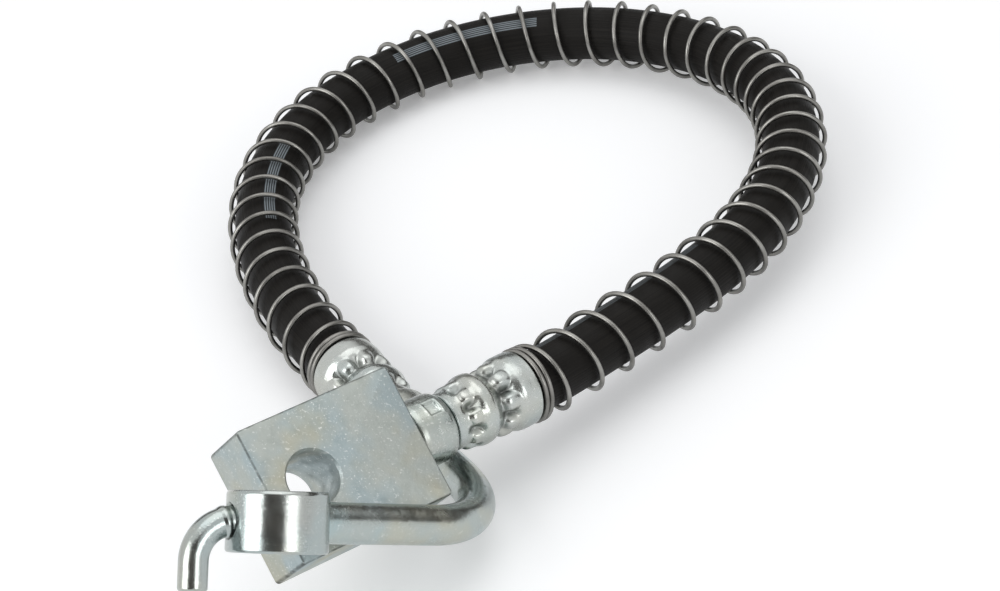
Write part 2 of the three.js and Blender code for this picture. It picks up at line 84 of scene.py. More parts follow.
# %% A skin over rings of points
def closed_skin(name, rings, lengths=None, loop=False, sharp=None):
    """Joins ring i to ring i + 1 with four-cornered faces.

    The first UV value runs once round each ring, and the second is the distance along the
    piece in metres, which patterns that follow the surface need.
    """
    count, around = rings.shape[:2]
    points = rings.reshape(-1, 3)
    if lengths is None:
        steps = np.linalg.norm(np.diff(rings.mean(axis=1), axis=0), axis=1)
        lengths = np.concatenate([[0.0], np.cumsum(steps)])
    first = np.arange(count if loop else count - 1)
    column = np.arange(around)
    i, j = np.meshgrid(first, column, indexing="ij")
    i_next = (i + 1) % count
    j_next = (j + 1) % around
    quads = np.stack(
        [i * around + j, i * around + j_next, i_next * around + j_next, i_next * around + j],
        axis=-1,
    ).reshape(-1, 4)
    u = j / around
    u_next = (j + 1) / around
    v = lengths[i]
    v_next = lengths[np.minimum(i + 1, len(lengths) - 1)]
    uv = np.stack(
        [
            np.stack([u, v], -1),
            np.stack([u_next, v], -1),
            np.stack([u_next, v_next], -1),
            np.stack([u, v_next], -1),
        ],
        axis=-2,
    ).reshape(-1, 2)
    corners = quads.ravel()
    sizes = np.full(len(quads), 4)
    triangles = [quads[:, [0, 1, 2]], quads[:, [0, 2, 3]]]
    if not loop:
        poles = np.stack([rings[0].mean(axis=0), rings[-1].mean(axis=0)])
        points = np.concatenate([points, poles])
        low = np.stack([np.full(around, count * around), (column + 1) % around, column], -1)
        last = (count - 1) * around
        high = np.stack(
            [np.full(around, count * around + 1), last + column, last + (column + 1) % around], -1
        )
        triangles += [low, high]
        corners = np.concatenate([corners, low.ravel(), high.ravel()])
        sizes = np.concatenate([sizes, np.full(2 * around, 3)])
        ends = np.zeros((6 * around, 2))
        ends[3 * around :, 1] = lengths[-1]
        uv = np.concatenate([uv, ends])
    a, b, c = points[np.concatenate(triangles)].transpose(1, 0, 2)
    volume = np.einsum("ij,ij->", a, np.cross(b, c)) / 6
    if volume < 0:
        starts = np.concatenate([[0], np.cumsum(sizes)[:-1]])
        place = np.repeat(starts, sizes)
        rank = np.arange(len(corners)) - place
        flipped = place + np.repeat(sizes, sizes) - 1 - rank
        corners = corners[flipped]
        uv = uv[flipped]
    mesh = bpy.data.meshes.new(name)
    mesh.vertices.add(len(points))
    mesh.vertices.foreach_set("co", points.astype(np.float32).ravel())
    mesh.loops.add(len(corners))
    mesh.loops.foreach_set("vertex_index", corners.astype(np.int32))
    mesh.polygons.add(len(sizes))
    starts = np.concatenate([[0], np.cumsum(sizes)[:-1]])
    mesh.polygons.foreach_set("loop_start", starts.astype(np.int32))
    mesh.update(calc_edges=True)
    layer = mesh.uv_layers.new(name="surface")
    layer.data.foreach_set("uv", uv.astype(np.float32).ravel())
    mesh.shade_smooth()
    if sharp is not None:
        mesh.set_sharp_from_angle(angle=np.radians(sharp))
    piece = bpy.data.objects.new(name, mesh)
    bpy.context.scene.collection.objects.link(piece)
    print(name, "has", len(sizes), "faces")
    return piece


def rings_round(centre, side, above, radius, around):
    """A circle round each point of a line: centre + radius (cos side + sin above)."""
    angle = np.arange(around) * 2 * np.pi / around
    spoke = (
        np.cos(angle)[None, :, None] * side[:, None, :]
        + np.sin(angle)[None, :, None] * above[:, None, :]
    )
    radius = np.broadcast_to(radius, len(centre))
    return centre[:, None, :] + radius[:, None, None] * spoke


# %% [markdown]
# ## The hose
#
# The rubber hose is one free length, so its route comes before anything else. Its points were
# chosen along the loop, and a smooth curve goes through them. Near each end the curve
# runs straight, because the ferrule holds it there, and inside the crimp the rubber is squeezed
# thinner. It is extruded, so fine lines run along it, and its print runs along its upper side.

# %% The route of the hose
BLOCK_BEARING = (-140.3, 9.8, -45.5)
PIPE_BEARING = (-57.5, -1.0, 0.0)
EYE_BEARING = (-146.3, 33.3, -117.4)
HOSE_RADIUS = 5.2 * MM
HOSE_GRIP = 6.0 * MM

ROUTE = np.array(
    [
        (-0.0321, -0.0150, 0.0066),
        (-0.0338, -0.0124, 0.0066),
        (-0.0397, -0.0018, 0.0071),
        (-0.0445, 0.0095, 0.0073),
        (-0.0479, 0.0212, 0.0074),
        (-0.0497, 0.0333, 0.0074),
        (-0.0492, 0.0456, 0.0072),
        (-0.0460, 0.0574, 0.0069),
        (-0.0399, 0.0680, 0.0068),
        (-0.0312, 0.0767, 0.0067),
        (-0.0207, 0.0829, 0.0067),
        (-0.0089, 0.0862, 0.0068),
        (0.0033, 0.0865, 0.0070),
        (0.0153, 0.0839, 0.0073),
        (0.0263, 0.0785, 0.0077),
        (0.0358, 0.0709, 0.0081),
        (0.0432, 0.0611, 0.0086),
        (0.0480, 0.0499, 0.0091),
        (0.0498, 0.0377, 0.0095),
        (0.0487, 0.0255, 0.0099),
        (0.0450, 0.0139, 0.0102),
        (0.0389, 0.0032, 0.0104),
        (0.0310, -0.0061, 0.0106),
        (0.0220, -0.0145, 0.0108),
        (0.0128, -0.0226, 0.0113),
        (0.0038, -0.0310, 0.0125),
        (-0.0010, -0.0350, 0.0136),
    ]
)
ROUTE = ROUTE + CENTRING
PIPE_MOUTH = ROUTE[0]
BLOCK_MOUTH = ROUTE[-1]
UP = np.array([0.0, 0.0, 1.0])


def unit(vectors):
    """Each vector divided by its length."""
    return vectors / np.linalg.norm(vectors, axis=-1, keepdims=True)


def axes_of(bearing):
    """Right, forward and face axes of a fitting from its heading, climb and roll in degrees."""
    heading, climb, roll = np.radians(bearing)
    forward = np.array(
        [np.cos(climb) * np.cos(heading), np.cos(climb) * np.sin(heading), np.sin(climb)]
    )
    level = unit(np.cross(forward, UP))
    above = np.cross(level, forward)
    face = level * np.cos(roll) + above * np.sin(roll)
    return np.cross(forward, face), forward, face


def smooth_through(points, per_span=60):
    """A centripetal Catmull-Rom curve: cubic spans whose pace follows the root of each gap."""
    padded = np.vstack([2 * points[0] - points[1], points, 2 * points[-1] - points[-2]])
    p0, p1, p2, p3 = padded[:-3], padded[1:-2], padded[2:-1], padded[3:]
    gap = lambda a, b: np.sqrt(np.linalg.norm(b - a, axis=1))[:, None]
    d0, d1, d2 = gap(p0, p1), gap(p1, p2), gap(p2, p3)
    m1 = d1 * ((p1 - p0) / d0 - (p2 - p0) / (d0 + d1) + (p2 - p1) / d1)
    m2 = d1 * ((p2 - p1) / d1 - (p3 - p1) / (d1 + d2) + (p3 - p2) / d2)
    t = (np.arange(per_span) / per_span)[None, :, None]
    p1, p2, m1, m2 = (x[:, None, :] for x in (p1, p2, m1, m2))
    curve = (
        p1 * (2 * t**3 - 3 * t**2 + 1)
        + m1 * (t**3 - 2 * t**2 + t)
        + p2 * (3 * t**2 - 2 * t**3)
        + m2 * (t**3 - t**2)
    )
    return np.vstack([curve.reshape(-1, 3), points[-1]])


class Line:
    """A curve that can be read at any distance along it, with a level side and an upper side."""

    def __init__(self, points):
        self.points = points
        steps = np.linalg.norm(np.diff(points, axis=0), axis=1)
        self.at = np.concatenate([[0.0], np.cumsum(steps)])
        self.length = self.at[-1]

    def read(self, distance):
        reach = 0.0004
        pick = lambda s: np.stack([np.interp(s, self.at, self.points[:, k]) for k in range(3)], -1)
        centre = pick(distance)
        ahead = pick(np.minimum(distance + reach, self.length))
        behind = pick(np.maximum(distance - reach, 0.0))
        forward = unit(ahead - behind)
        side = unit(np.cross(forward, UP))
        return centre, forward, side, np.cross(side, forward)


grip_shares = np.array([1.0, 0.5])[:, None]
pipe_grip = PIPE_MOUTH + grip_shares * HOSE_GRIP * axes_of(PIPE_BEARING)[1]
block_grip = BLOCK_MOUTH + grip_shares[::-1] * HOSE_GRIP * axes_of(BLOCK_BEARING)[1]
hose_line = Line(smooth_through(np.vstack([pipe_grip, ROUTE, block_grip])))
print("hose centre line:", round(hose_line.length, 4), "m")

# %% The rubber hose
SQUEEZE = 1.4 * MM
SQUEEZE_FROM = 2.6 * MM
SQUEEZE_RUN = 3.2 * MM


def step_up(x):
    """A smooth step from 0 to 1 while x goes from 0 to 1."""
    x = np.clip(x, 0.0, 1.0)
    return x * x * (3 - 2 * x)


hose_at = np.linspace(0.0, hose_line.length, 900)
hose_centre, _, hose_side, hose_above = hose_line.read(hose_at)
grip_depth = HOSE_GRIP - np.minimum(hose_at, hose_line.length - hose_at)
squeeze = step_up((grip_depth - SQUEEZE_FROM) / SQUEEZE_RUN)
hose_radii = HOSE_RADIUS - SQUEEZE * squeeze
hose_rings = rings_round(hose_centre, hose_side, hose_above, hose_radii, 96)
rubber_hose = closed_skin("rubber_hose", hose_rings, hose_at)
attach(rubber_hose, "root")
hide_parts("hose")

# %% [markdown]
# ## The spring guard
#
# A coil of spring wire keeps stones and chafing off the rubber. It is one helix wound along
# the hose: two turns lie closed at each ferrule, and the open turns between them are a little
# wider apart on the straight stretches. The wire is round, so its own ring of points is
# placed square to the direction in which the helix runs.

# %% The spring guard
WIRE_RADIUS = 0.44 * MM
COIL_RADIUS = 6.18 * MM
OPEN_TURNS = 46.6
CLOSED_TURNS = 2
CLOSED_PITCH = 1.0 * MM
START_ANGLE = np.radians(258)
PITCHES = np.array([6.6, 6.3, 6.3, 6.6, 6.8, 6.5, 5.9, 5.9, 6.0, 7.2])

seat = 0.08 * MM + WIRE_RADIUS
coil_from = HOSE_GRIP + seat
coil_to = hose_line.length - HOSE_GRIP - seat
open_from = coil_from + CLOSED_TURNS * CLOSED_PITCH
open_to = coil_to - CLOSED_TURNS * CLOSED_PITCH
shares = np.concatenate([[0.0], np.cumsum(PITCHES)]) / PITCHES.sum()
turn_marks = np.concatenate(
    [[0.0], CLOSED_TURNS + OPEN_TURNS * np.linspace(0, 1, 11), [OPEN_TURNS + 2 * CLOSED_TURNS]]
)
place_marks = np.concatenate([[coil_from], open_from + (open_to - open_from) * shares, [coil_to]])

turns = np.linspace(0.0, turn_marks[-1], int(turn_marks[-1] * 48))
guard_at = np.interp(turns, turn_marks, place_marks)
guard_centre, _, guard_side, guard_above = hose_line.read(guard_at)
angle = (START_ANGLE - turns * 2 * np.pi)[:, None]
outward = guard_side * np.cos(angle) + guard_above * np.sin(angle)
wire_centre = guard_centre + COIL_RADIUS * outward
wire_forward = unit(np.gradient(wire_centre, axis=0))
wire_side = unit(np.cross(wire_forward, outward))
wire_above = np.cross(wire_side, wire_forward)
wire_rings = rings_round(wire_centre, wire_side, wire_above, WIRE_RADIUS, 12)
guard_wire = closed_skin("guard_wire", wire_rings, sharp=50)
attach(guard_wire, "root")
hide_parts("spring_guard")

# %% [markdown]
# ## Turned pieces
#
# The inserts and the eye come off a lathe, so each is an outline spun round an axis. Sharp
# corners would look drawn rather than made, so a helper rounds every corner of the outline
# before it is spun.


# %% Spinning an outline
def rounded_outline(corners, fillet, closed=True, step=0.4):
    """Corner (r, y) points with each corner swapped for a short curve, and long runs divided."""
    corners = np.array(corners, float)
    previous = np.roll(corners, 1, axis=0)
    following = np.roll(corners, -1, axis=0)
    back = previous - corners
    ahead = following - corners
    cut_back = np.minimum(fillet, 0.45 * np.linalg.norm(back, axis=1))[:, None]
    cut_ahead = np.minimum(fillet, 0.45 * np.linalg.norm(ahead, axis=1))[:, None]
    start = corners + unit(back) * cut_back
    end = corners + unit(ahead) * cut_ahead
    t = np.linspace(0, 1, 6)[None, :, None]
    bows = (
        (1 - t) ** 2 * start[:, None] + 2 * t * (1 - t) * corners[:, None] + t**2 * end[:, None]
    )
    dense = bows.reshape(-1, 2)
    if not closed:
        dense = np.vstack([corners[0], bows[1:-1].reshape(-1, 2), corners[-1]])
    runs = np.linalg.norm(np.diff(dense, axis=0, append=dense[:1]), axis=1)
    places = np.concatenate([[0.0], np.cumsum(runs)])
    around = np.vstack([dense, dense[:1]]) if closed else dense
    places = places if closed else places[:-1]
    extra = np.arange(0.0, places[-1], step)
    keep = np.unique(np.concatenate([places[:-1] if closed else places, extra]).round(5))
    return np.stack([np.interp(keep, places, around[:, k]) for k in range(2)], -1)


def spun(outline, origin, axes, around=160, change=None):
    """Rings of an outline in millimetres, spun round the fitting's forward axis.

    An angle of zero faces along the fitting's face axis. The function change takes the radius,
    the height and the angle, all as grids, and gives the new radius.
    """
    right, forward, face = axes
    angle = np.arange(around) * 2 * np.pi / around
    radius = np.repeat(outline[:, :1], around, axis=1)
    height = np.repeat(outline[:, 1:], around, axis=1)
    angles = np.repeat(angle[None, :], len(outline), axis=0)
    if change is not None:
        radius = change(radius, height, angles)
    spoke = np.sin(angles)[..., None] * right + np.cos(angles)[..., None] * face
    grid = origin + (radius[..., None] * spoke + height[..., None] * forward) * MM
    runs = np.linalg.norm(np.diff(outline, axis=0), axis=1) * MM
    return grid, np.concatenate([[0.0], np.cumsum(runs)])


def bump(x):
    """A smooth hill: 1 in the middle, 0 from a distance of 1 onwards."""
    return np.where(np.abs(x) < 1, (1 - np.minimum(np.abs(x), 1) ** 2) ** 2, 0.0)


# %% [markdown]
# ## The crimped ferrules
#
# A press with eight dies squeezes each steel shell on to the hose at two places. Between the
# dies the metal has nowhere to go, so it stands up in round bosses with a crease beside each.
# The radius of the shell is worked out over its height and angle: a big lobe, a valley, a
# small lobe and a waist, with a ring of domes on each slope. The bore narrows inside the crimp,
# so that the wall never turns inside out. Sizes of fittings are in millimetres from here on.

# %% Ferrule shape
BOSS_COUNT = 8
SHELL_LENGTH = 16.2
SHELL_BORE = 5.5
GRIP_FLOOR = 6.3
VALLEY = 4.95
BIG_LOBE = 6.48
BIG_LOBE_AT = 1.6
SMALL_LOBE = 6.1
SMALL_LOBE_AT = 9.9
BOSS_WIDTH = 2.05
BOSS_PITCH = 4.7
DENT_DEPTH = 0.75
DENT_SHIFT = 0.55
UNEVENNESS = 0.03
RIM_ROUNDING = 0.2
OUTSIDE = 200.0


def softer_top(a, b, blend):
    """The larger of a and b, with the crease between them filled over the given height."""
    return 0.5 * (a + b + np.sqrt((a - b) ** 2 + blend**2))


BOSS_RINGS = ((5.4, 6.2), (12.4, 5.85))
chance = np.random.default_rng(8)
boss_rise = chance.uniform(-0.25, 0.05, (2, BOSS_COUNT))
boss_shift = chance.uniform(-0.25, 0.25, (2, BOSS_COUNT))


def boss_angles(angle):
    """Share of a pitch from the nearest boss, and that boss's number, at each angle."""
    place = angle * BOSS_COUNT / (2 * np.pi) - 0.5
    nearest = np.round(place)
    return place - nearest, nearest.astype(int) % BOSS_COUNT


def pressed_dents(height, angle):
    """Dents between neighbouring bosses: a hill over the angle times a hill over the height."""
    off, _ = boss_angles(angle)
    dents = np.zeros_like(height)
    for place, _ in BOSS_RINGS:
        dents += bump((np.abs(off) - 0.5) / 0.32) * bump((height - place - DENT_SHIFT) / 1.9)
    return dents


def crimped_radius(radius, height, angle):
    """Radius of the shell: two crowned lobes, raised to the bosses and pressed in between them.

    A boss is nearly flat on top and falls away with the fourth power of the distance. It runs
    out long and low towards its own lobe, and is steeper on the side of the next valley.
    """
    drum = BIG_LOBE - 0.035 * (height - BIG_LOBE_AT) ** 2
    big = VALLEY + (drum - VALLEY) * (1 - step_up((height - 2.9) / 3.5))
    collar = SMALL_LOBE - 0.1 * (height - SMALL_LOBE_AT) ** 2
    small = VALLEY + (collar - VALLEY) * step_up((height - 6.6) / 2.7)
    small = VALLEY + (small - VALLEY) * (1 - step_up((height - 10.3) / 3.6))
    shell = softer_top(big, small, 0.05)
    off, number = boss_angles(angle)
    for ring, (place, top) in enumerate(BOSS_RINGS):
        across = off * BOSS_PITCH / BOSS_WIDTH
        along = height - place - boss_shift[ring][number]
        along = np.where(along < 0, along / 2.3, along / 1.7)
        away = across**2 + along**2
        boss = top + boss_rise[ring][number] - 0.25 * away - 0.7 * away**2
        shell = softer_top(shell, boss, 0.3)
    shell = shell - DENT_DEPTH * pressed_dents(height, angle)
    shell = shell + UNEVENNESS * np.sin(3 * angle + height) * np.sin(1.3 * height)
    rim = np.clip(np.minimum(height, SHELL_LENGTH - height) / RIM_ROUNDING, 0, 1)
    shell = shell - RIM_ROUNDING * (1 - np.sqrt(1 - (1 - rim) ** 2))
    return np.where(radius == OUTSIDE, shell, radius)


SHELL_RINGS = 190
shell_heights = np.linspace(0.0, SHELL_LENGTH, SHELL_RINGS)
shell_outside = np.stack([np.full(SHELL_RINGS, OUTSIDE), shell_heights], -1)
shell_inside = [
    (3.95, SHELL_LENGTH),
    (3.95, 12.1),
    (4.55, 12.1),
    (4.55, 10.1),
    (3.95, 10.1),
    (3.95, GRIP_FLOOR),
    (4.1, 5.4),
    (4.5, 5.0),
    (5.1, 4.5),
    (SHELL_BORE, 2.9),
    (SHELL_BORE, 0.0),
]
shell_outline = np.vstack([shell_outside, np.array(shell_inside)])


def ferrule(name, node, mouth, bearing):
    """A crimped shell on the mouth of the hose, standing for the solid of that name."""
    around = 256
    rings, lengths = spun(shell_outline, mouth, axes_of(bearing), around, crimped_radius)
    lengths = np.minimum(lengths, 1.0)
    piece = closed_skin(name, rings, lengths, loop=True, sharp=60)
    angle = np.arange(around) * 2 * np.pi / around
    heights, angles = np.meshgrid(shell_outline[:, 1], angle, indexing="ij")
    # Painted shade: the dents between bosses, the valley between the lobes and the rim at the hub end
    # are stored for the finish to darken.
    valley = 0.55 * bump((heights - 7.3) / 1.4) + 0.25 * bump((heights - SHELL_LENGTH) / 0.8)
    shade_mask = np.clip(pressed_dents(heights, angles) + valley, 0, 1)
    layer = piece.data.attributes.new("shade_mask", "FLOAT", "POINT")
    layer.data.foreach_set("value", shade_mask.astype(np.float32).ravel())
    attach(piece, "root")
    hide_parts(node)
    return piece


block_shell = ferrule("block_shell", "block_end_ferrule", BLOCK_MOUTH, BLOCK_BEARING)
pipe_shell = ferrule("pipe_shell", "pipe_end_ferrule", PIPE_MOUTH, PIPE_BEARING)

# %% [markdown]
# ## The turned inserts
#
# Each insert has a stem inside the hose and a hub that shows between the ferrule and the next
# piece. A staking tool has pressed a small rectangular mark into each hub, with the metal
# risen a little round it.

# %% Inserts
HUB = 5.8
STAKE_HEIGHT = 19.3
BLOCK_FACE = 23.75
SOCKET_END = 28.5


def staked(stake_angle):
    """A change of radius that presses the mark in at one angle: a flat floor in a low rim."""

    def change(radius, height, angle):
        off = np.mod(angle - stake_angle + np.pi, 2 * np.pi) - np.pi
        across = np.abs(off * radius) / 1.35
        along = np.abs(height - STAKE_HEIGHT) / 1.15
        edge = np.maximum(across, along)
        floor = 1 - step_up((edge - 0.7) / 0.35)
        rim = bump((edge - 1.2) / 0.3)
        on_hub = radius > HUB - 0.8
        return np.where(on_hub, radius - 0.42 * floor + 0.07 * rim, radius)

    return change


INSERT_FRONT = [
    (0.75, 1.5),
    (1.4, 1.5),
    (1.4, 6.6),
    (3.65, 6.6),
    (3.65, 10.3),
    (4.4, 10.3),
    (4.4, 11.9),
    (3.65, 11.9),
    (3.65, 16.3),
    (4.75, 16.3),
    (4.8, 16.45),
    (5.4, 16.8),
    (5.72, 17.5),
    (HUB, 18.6),
]
BLOCK_TAIL = [(HUB, 22.6), (5.5, 23.45), (3.5, 23.45), (3.5, 27.95), (0.75, 27.95)]
PIPE_TAIL = [(HUB, 22.8), (5.1, 23.8), (5.1, 28.15), (4.75, 28.5), (3.475, 28.5), (3.475, 23.5)]
PIPE_TAIL = PIPE_TAIL + [(0.75, 23.5)]


def insert(name, node, tail, mouth, bearing):
    """A turned insert with its mark, standing for the solid of that name."""
    outline = rounded_outline(INSERT_FRONT + tail, 0.3, step=0.2)
    change = staked(np.radians(205))
    rings, lengths = spun(outline, mouth, axes_of(bearing), 216, change)
    piece = closed_skin(name, rings, lengths, loop=True, sharp=40)
    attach(piece, "root")
    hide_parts(node)
    return piece


block_stem = insert("block_stem", "block_end_insert", BLOCK_TAIL, BLOCK_MOUTH, BLOCK_BEARING)
pipe_stem = insert("pipe_stem", "pipe_end_insert", PIPE_TAIL, PIPE_MOUTH, PIPE_BEARING)

# %% [markdown]
# ## The junction block
#
# The block is a sawn length of steel bar, drilled for its bolt, tapped for the inlet pipe and
# bored for the insert. Its flat faces and round holes suit Blender's Boolean modifier better
# than a grid: a bar with eased edges, less three cutters. The thread is a cutter whose radius
# rises and falls once for each turn. No ring of a cutter lies in a face that it cuts, because
# that leaves slivers. Each eased edge is marked for a thin line of painted shade along it.

# %% Junction block
BLOCK_LENGTH = 28.8
HALF_WIDTH = 11.45
HALF_THICKNESS = 6.0
EASE = 0.35
CORNER = 0.7
block_axes = axes_of(BLOCK_BEARING)


def bar_ring(inset, depth):
    """One outline of the bar, with rounded corners, drawn in by inset at that depth."""
    quarter = np.linspace(0, np.pi / 2, 7)
    parts = []
    for turn_index, (sx, sy) in enumerate(((1, 1), (-1, 1), (-1, -1), (1, -1))):
        a = quarter + turn_index * np.pi / 2
        x = sx * (HALF_WIDTH - CORNER) + np.cos(a) * (CORNER - inset)
        y = sy * (BLOCK_LENGTH / 2 - CORNER) + np.sin(a) * (CORNER - inset)
        parts.append(np.stack([x, y + BLOCK_FACE + BLOCK_LENGTH / 2, np.full(7, depth)], -1))
    return np.vstack(parts)


def in_fitting(points, axes, origin):
    """Points in millimetres along a fitting's own axes, placed in the model in metres."""
    right, forward, face = axes
    x, y, z = (points[..., k : k + 1] for k in range(3))
    return origin + (x * right + y * forward + z * face) * MM


bow = np.linspace(0, np.pi / 2, 5)
edge_rings = [(EASE * (1 - np.sin(a)), EASE * (1 - np.cos(a))) for a in bow]
low_rings = [bar_ring(inset, -HALF_THICKNESS + rise) for inset, rise in edge_rings]
high_rings = [bar_ring(inset, HALF_THICKNESS - rise) for inset, rise in edge_rings[::-1]]
bar = np.stack(low_rings + high_rings)
drilled_block = closed_skin("drilled_block", in_fitting(bar, block_axes, BLOCK_MOUTH))


def drill(piece, cutters):
    """Cuts each closed cutter out of a piece, then takes the cutters away."""
    for cutter in cutters:
        cut = piece.modifiers.new("cut", "BOOLEAN")
        cut.operation = "DIFFERENCE"
        cut.solver = "EXACT"
        cut.object = cutter
    bpy.context.view_layer.update()
    cut_piece = piece.evaluated_get(bpy.context.evaluated_depsgraph_get())
    drilled = bpy.data.meshes.new_from_object(cut_piece)
    piece.modifiers.clear()
    piece.data = drilled
    for cutter in cutters:
        bpy.data.objects.remove(cutter)
    drilled.shade_smooth()
    drilled.set_sharp_from_angle(angle=np.radians(25))
    print(piece.name, "has", len(drilled.polygons), "faces after drilling")


def turned_cutter(name, outline, origin, axes, around=128, change=None):
    """A solid cutter from an open outline whose ends lie near the axis."""
    rings, lengths = spun(np.array(outline, float), origin, axes, around, change)
    return closed_skin(name, rings, lengths)


def thread(radius, height, angle):
    """A V thread of 1 mm pitch on the straight part of the port."""
    turn_share = np.mod(height - angle / (2 * np.pi), 1.0)
    ridge = 0.32 * (1 - 2 * np.abs(turn_share - 0.5))
    fade = step_up((height - 3.7) / 0.8) * (1 - step_up((height - 10.5) / 0.5))
    return np.where((radius > 4.3) & (radius < 4.6), radius - ridge * fade, radius)


right, forward, face = block_axes
bolt_centre = BLOCK_MOUTH + forward * (BLOCK_FACE + BLOCK_LENGTH - 8.3) * MM
bolt_outline = [(5.85, -7.0), (4.5, -5.65), (4.5, 5.65), (5.85, 7.0)]
bolt_cutter = turned_cutter("bolt_cutter", bolt_outline, bolt_centre, (right, face, -forward))

port_centre = BLOCK_MOUTH + forward * (BLOCK_FACE + 10.2) * MM
port_heights = np.arange(2.95, 11.1, 0.05)
port_walls = [(4.45, h) for h in port_heights]
port_outline = [(1.45, -0.3), (1.45, 5.15), (2.0, 5.15), (4.1, 2.95)] + port_walls
port_outline = port_outline + [(5.15, 11.8), (5.15, 12.5)]
port_axes = (forward, -right, face)
port_cutter = turned_cutter("port_cutter", port_outline, port_centre, port_axes, 96, thread)

spigot_outline = [(1.5, 34.5), (1.5, 28.25), (3.8, 28.25), (3.8, 22.0)]
spigot_cutter = turned_cutter("spigot_cutter", spigot_outline, BLOCK_MOUTH, block_axes)

drill(drilled_block, [bolt_cutter, port_cutter, spigot_cutter])


def paint_edge_shade(piece):
    """Stores how far round an eased edge each point lies, for a thin line of painted shade on it.

    With p and q the depths below two meeting faces and e the width of the easing, the mark is
    2 (e - p) (e - q) / e^2: 1 in the middle of the easing and 0 on the flat faces. The upright
    corners are marked on the side walls alone, so that no mark spreads over a flat face.
    """
    points = np.empty(3 * len(piece.data.vertices), np.float32)
    piece.data.vertices.foreach_get("co", points)
    middle = BLOCK_MOUTH + block_axes[1] * (BLOCK_FACE + BLOCK_LENGTH / 2) * MM
    local = np.abs((points.reshape(-1, 3) - middle) @ np.array(block_axes).T) / MM
    depth = np.maximum(np.array([HALF_WIDTH, BLOCK_LENGTH / 2, HALF_THICKNESS]) - local, 0)
    sides = np.sort(depth[:, :2], axis=1)
    flat = np.clip(EASE - sides[:, 0], 0, None) * np.clip(EASE - depth[:, 2], 0, None)
    corner = np.clip(CORNER - sides[:, 0], 0, None) * np.clip(CORNER - sides[:, 1], 0, None)
    on_wall = depth[:, 2] > 0.99 * EASE
    mark = np.maximum(2 * flat / EASE**2, 2 * corner * on_wall / CORNER**2)
    layer = piece.data.attributes.new("shade_mask", "FLOAT", "POINT")
    layer.data.foreach_set("value", np.clip(mark, 0, 1).astype(np.float32))


paint_edge_shade(drilled_block)
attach(drilled_block, "root")
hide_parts("junction_block")

# %% [markdown]
# ## Pipe, eye and pin
#
# The steel pipe leaves the insert, turns once and is brazed into the eye. The hooked pin on
# the eye's far side keeps it from turning on the caliper. Pipe and pin are both rods bent
# once: straight, an arc, and straight again.


# %% Bent rods
def bent_line(start, corner, end, bend, step=0.25 * MM):
    """Points along a rod bent once, and the rod's direction at each, worked out by distance."""
    along = unit(corner - start)
    away = unit(end - corner)
    angle = np.arccos(along @ away)
    tangent = bend * np.tan(angle / 2)
    first = np.linalg.norm(corner - start) - tangent
    last = np.linalg.norm(end - corner) - tangent
    total = first + bend * angle + last
    s = np.linspace(0, total, int(total / step))[:, None]
    inward = unit(away - along * (along @ away))
    turned = np.clip((s - first) / bend, 0, angle)
    straight = start + along * np.minimum(s, first)
    arc = bend * (along * np.sin(turned) + inward * (1 - np.cos(turned)))
    beyond = away * np.maximum(s - first - bend * angle, 0)
    direction = along * np.cos(turned) + inward * np.sin(turned)
    normal = np.cross(along, inward)
    return straight + arc + beyond, direction, normal, s[:, 0]


def bent_rod(name, node, points, radius, around=96):
    """A rod along a bent line, with the given radius at every point."""
    centre, direction, normal, distance = points
    side = np.repeat(normal[None, :], len(centre), axis=0)
    above = np.cross(side, direction)
    rings = rings_round(centre, side, above, radius, around)
    piece = closed_skin(name, rings, distance, sharp=50)
    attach(piece, "root")
    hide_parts(node)
    return piece


PIPE_RADIUS = 3.175 * MM
PIPE_BEND = 16.4 * MM
PIPE_CORNER = 24.95
PIPE_REACH = 45.4
pipe_forward = axes_of(PIPE_BEARING)[1]
eye_axes = axes_of(EYE_BEARING)
corner_point = PIPE_MOUTH + pipe_forward * (SOCKET_END + PIPE_CORNER) * MM
eye_centre = corner_point + eye_axes[1] * PIPE_REACH * MM
pipe_start = PIPE_MOUTH + pipe_forward * (SOCKET_END - 4.7) * MM
pipe_end = eye_centre - eye_axes[1] * 6.6 * MM
pipe_points = bent_line(pipe_start, corner_point, pipe_end, PIPE_BEND)
steel_pipe = bent_rod("steel_pipe", "bent_pipe", pipe_points, PIPE_RADIUS)

# %% The eye
EYE_OUTLINE = [
    (7.35, -4.6),
    (7.7, -4.1),
    (7.7, 4.3),
    (7.45, 4.6),
    (5.1, 4.6),
    (5.1, 2.4),
    (5.5, 2.0),
    (5.5, -2.0),
    (5.1, -2.4),
    (5.1, -4.6),
]
right, forward, face = eye_axes
eye_rings, eye_lengths = spun(
    rounded_outline(EYE_OUTLINE, 0.2, step=0.3), eye_centre, (right, face, -forward), 224
)
banjo_ring = closed_skin("banjo_ring", eye_rings, eye_lengths, loop=True, sharp=40)
PIN_ANGLE = np.radians(14)
pin_out = -np.sin(PIN_ANGLE) * right + np.cos(PIN_ANGLE) * forward
pipe_socket = [(3.475, 6.3), (3.475, 7.2), (3.475, 9.0)]
pin_socket = [(2.45, 6.0), (2.45, 7.05), (2.95, 7.95), (2.95, 9.0)]
pipe_socket_axes = (right, -forward, face)
pin_socket_axes = (np.cross(pin_out, face), pin_out, face)
socket_cutters = [
    turned_cutter("pipe_socket", pipe_socket, eye_centre, pipe_socket_axes),
    turned_cutter("pin_socket", pin_socket, eye_centre, pin_socket_axes),
]
drill(banjo_ring, socket_cutters)
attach(banjo_ring, "root")
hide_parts("banjo_eye")

